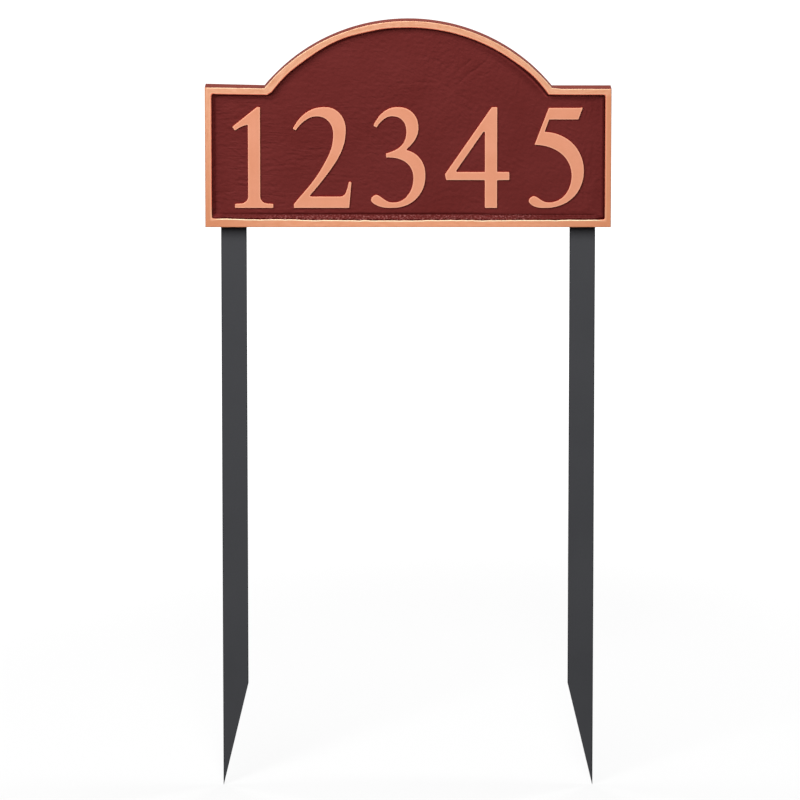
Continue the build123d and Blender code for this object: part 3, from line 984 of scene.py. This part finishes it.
# Burgundy enamel over the whole casting, with copper paint brushed on the face of its border
def plaque_finish(drift, skin, streaks, wrinkles):
    finish = Finish("burgundy_and_copper")
    x, y, z = finish.split(finish.place)
    depth = finish.minus(y, plaque_front)
    height = finish.minus(z, plaque_low.z)
    border_run = finish.add("ShaderNodeUVMap", {}, uv_map="border_run")[0]
    past_mouth = finish.split(border_run)[1]
    inside = finish.map(past_mouth, -4.0, -3.0)
    at_mouth = finish.map(past_mouth, -0.35, -0.1)
    on_side = finish.map(past_mouth, -7.5, -6.5, 1.0, 0.0)
    inner_rim = finish.value("inner_rim")

    # The copper ends a little way down the border's rounded edges, and less evenly at the bottom lip
    lip = finish.times(finish.value("low_lip"), at_mouth, finish.map(past_mouth, 0.5, 0.75, 1.0, 0.0))
    wander = finish.map(finish.noise(finish.place, 130.0), 0.3, 0.7, -1.0, 1.0)
    wander = finish.times(wander, finish.map(lip, 0.0, 1.0, 0.08, 0.4))
    edge = finish.plus(finish.map(inside, 0.0, 1.0, 0.2, 0.5), wander)
    copper = finish.map(finish.minus(depth, edge), 0.0, 0.12, 1.0, 0.0)
    flat_copper = finish.times(copper, finish.map(depth, 0.03, 0.2, 1.0, 0.0))

    # Enamel: painted light and shade on the walls and near the sides; painted glints and dark specks on the
    # bottom wall
    # Painted shade on the field near the left and right sides
    shade_by_right = finish.times(finish.map(height, 15, 70, 0.16, 0.08), finish.map(x, 176, 188))
    shade_by_left = finish.map(x, -190, -176, 0.09, 0.0)
    glints_and_specks = finish.value("glints_and_specks")
    specks = finish.use(streaks, border_run, long_scale=420.0, cross_scale=600.0)["Value"]
    enamel = finish.over(
        finish.use(drift, light_tone=burgundy_light, dark_tone=burgundy_dark, patch_scale=24.0)["Tone"],
        (on_side, burgundy_side),
        # Painted light on some walls
        (finish.value("painted_light_wall"), burgundy_painted_light),
        (finish.plus(finish.value("field_shade"), finish.largest(shade_by_left, shade_by_right)), burgundy_shade_and_specks),
        # Painted shade below the border's inner edge, down the recess walls and in the bottom wall's groove
        (finish.times(finish.value("seam"), 0.95), burgundy_shade_and_specks),
        # Painted glints, and dark specks, on the bottom wall
        (finish.times(finish.map(specks, 0.5, 1.0), glints_and_specks), burgundy_painted_glint),
        (finish.times(finish.map(specks, 0.0, 0.42, 0.65, 0.0), glints_and_specks), burgundy_shade_and_specks),
    )

    # Copper: streaked, redder along the bottom and on its rounded mouth, with painted shade at the lower
    # ends and on the right and on its outer edges, and painted highlights on its inner and top edges and on
    # the bottom lip
    to_end = finish.map(finish.off_zero(x), 110, 190)
    on_bottom = finish.times(finish.map(height, 9, 12, 0.5, 0.0), finish.minus(1.0, to_end))
    at_low_ends = finish.times(to_end, finish.map(height, 0, shoulder_height, 1.0, 0.0))
    at_right = finish.times(finish.map(x, 150, 190), finish.map(height, 133, 138, 0.9, 0.36))
    rolled = finish.times(finish.map(depth, 0.1, 0.35), inside)
    red_mouth = finish.times(inner_rim, at_mouth, finish.map(height, 14, 24))
    paint = finish.over(
        finish.use(drift, light_tone=copper_light, dark_tone=copper_dark, patch_scale=14.0)["Tone"],
        (finish.times(finish.use(streaks, border_run)["Value"], 0.8), copper_streak),
        (on_bottom, copper_full),
        (finish.largest(at_low_ends, at_right), copper_painted_shade),
        (finish.times(inner_rim, 0.7), copper_inner_highlight),
        (finish.times(finish.value("outer_rim"), 0.7), copper_outer_shade),
        (finish.times(finish.value("top_rim"), 0.5), cream_highlight),
        (finish.times(lip, 0.95), cream_highlight),
        (finish.largest(rolled, red_mouth), copper_edge),
    )
    finish.set(
        Base_Color=finish.over(enamel, (copper, paint)),
        Metallic=finish.times(flat_copper, 0.3),
        Roughness=finish.map(copper, 0.0, 1.0, 0.5, 0.4),
        Specular_IOR_Level=finish.map(flat_copper, 0.0, 1.0, 0.025, 0.1),
    )
    off_field = finish.largest(copper, finish.map(depth, 9.5, 11.0), on_side)
    in_field = finish.math("SUBTRACT", 1.0, off_field, clamp=True)
    finish.bump(wrinkle_height(finish, x, skin, wrinkles), mm, finish.map(in_field, 0.0, 1.0, 0.15, 0.85))
    return finish.material


def numeral_finish(drift, skin):
    finish = Finish("copper_numerals")
    depth = finish.minus(finish.split(finish.place)[1], numeral_low.y)
    off_face = finish.map(depth, 0.002, 0.03)
    paint = finish.use(
        drift, light_tone=numeral_light, dark_tone=numeral_dark, patch_scale=40.0, grain_share=0.5
    )
    tone = finish.over(
        paint["Tone"],
        # Painted highlight along the edges
        (finish.value("rim"), numeral_rim_highlight),
        (off_face, copper_edge),
        (finish.map(depth, 0.3, 0.45), numeral_side_brown),
        (finish.map(depth, 1.5, 1.6), numeral_foot_red),
    )
    finish.set(
        Base_Color=tone,
        Metallic=finish.map(off_face, 0.0, 1.0, 0.3, 0.0),
        Roughness=finish.map(paint["Value"], 0.0, 1.0, 0.46, 0.38),
        Specular_IOR_Level=finish.map(off_face, 0.0, 1.0, 0.1, 0.0),
    )
    finish.bump(finish.use(skin, pebble_scale=900.0)["Height"], 0.03 * mm)
    return finish.material


def stake_finish(drift, skin, inner_edge, outer_edge):
    finish = Finish("grey_powder_coat")
    x, y, _ = finish.split(finish.place)
    # Painted shade along the stake's front edges
    across = finish.off_zero(x)
    near_inner = finish.map(across, inner_edge + 0.3, inner_edge + 1.2, 1.0, 0.0)
    near_outer = finish.map(across, outer_edge - 1.2, outer_edge - 0.3)
    in_front = finish.map(y, 0.3, 1.0, 1.0, 0.0)
    edges = finish.times(finish.largest(near_inner, near_outer), in_front, 0.6)
    coat = finish.use(drift, light_tone=coat_light, dark_tone=coat_dark, patch_scale=12.0, grain_share=0.5)
    finish.set(
        Base_Color=finish.over(coat["Tone"], (edges, coat_edge_shade)),
        Roughness=finish.map(coat["Value"], 0.0, 1.0, 0.62, 0.54),
        Specular_IOR_Level=0.025,
    )
    finish.bump(finish.use(skin, pebble_scale=1100.0, ripple_scale=300.0)["Height"], 0.04 * mm)
    return finish.material


def steel_finish(drift, skin):
    finish = Finish("zinc_plated_steel")
    zinc = finish.use(drift, light_tone=zinc_light, dark_tone=zinc_dark, patch_scale=160.0, grain_share=0.5)
    roughness = finish.map(zinc["Value"], 0.0, 1.0, 0.38, 0.26)
    finish.set(Base_Color=zinc["Tone"], Metallic=1.0, Roughness=roughness)
    finish.bump(finish.use(skin, pebble_scale=2500.0)["Height"], 0.01 * mm)
    return finish.material


def wear(thing, material):
    thing.data.materials.clear()
    thing.data.materials.append(material)


def take_place_of(piece, node_name):
    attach(piece, "root")
    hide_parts(node_name)


bpy.context.scene.view_settings.view_transform = "Standard"
make_camera()
make_lights()
make_world()
make_floor()

tone_drift = make_drift_group()
paint_skin = make_skin_group()
brush_streaks = make_streak_group()
stake_low, stake_high = (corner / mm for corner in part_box("stake_right"))
numerals = numeral_finish(tone_drift, paint_skin)
stakes = stake_finish(tone_drift, paint_skin, stake_low.x, stake_high.x)
steel = steel_finish(tone_drift, paint_skin)
for node_name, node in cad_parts.items():
    if node_name.startswith("numeral_"):
        wear(node, numerals)
        plate = numeral_plate(node_name + "_plate", node)
        wear(plate, numerals)
        take_place_of(plate, node_name)
    elif node_name.startswith("stake_screw_") or node_name.startswith("lock_washer_"):
        wear(node, steel)
    elif node_name.startswith("stake_"):
        wear(node, stakes)

casting = plaque_casting()
wear(casting, plaque_finish(tone_drift, paint_skin, brush_streaks, make_wrinkle_group()))
take_place_of(casting, "plaque")
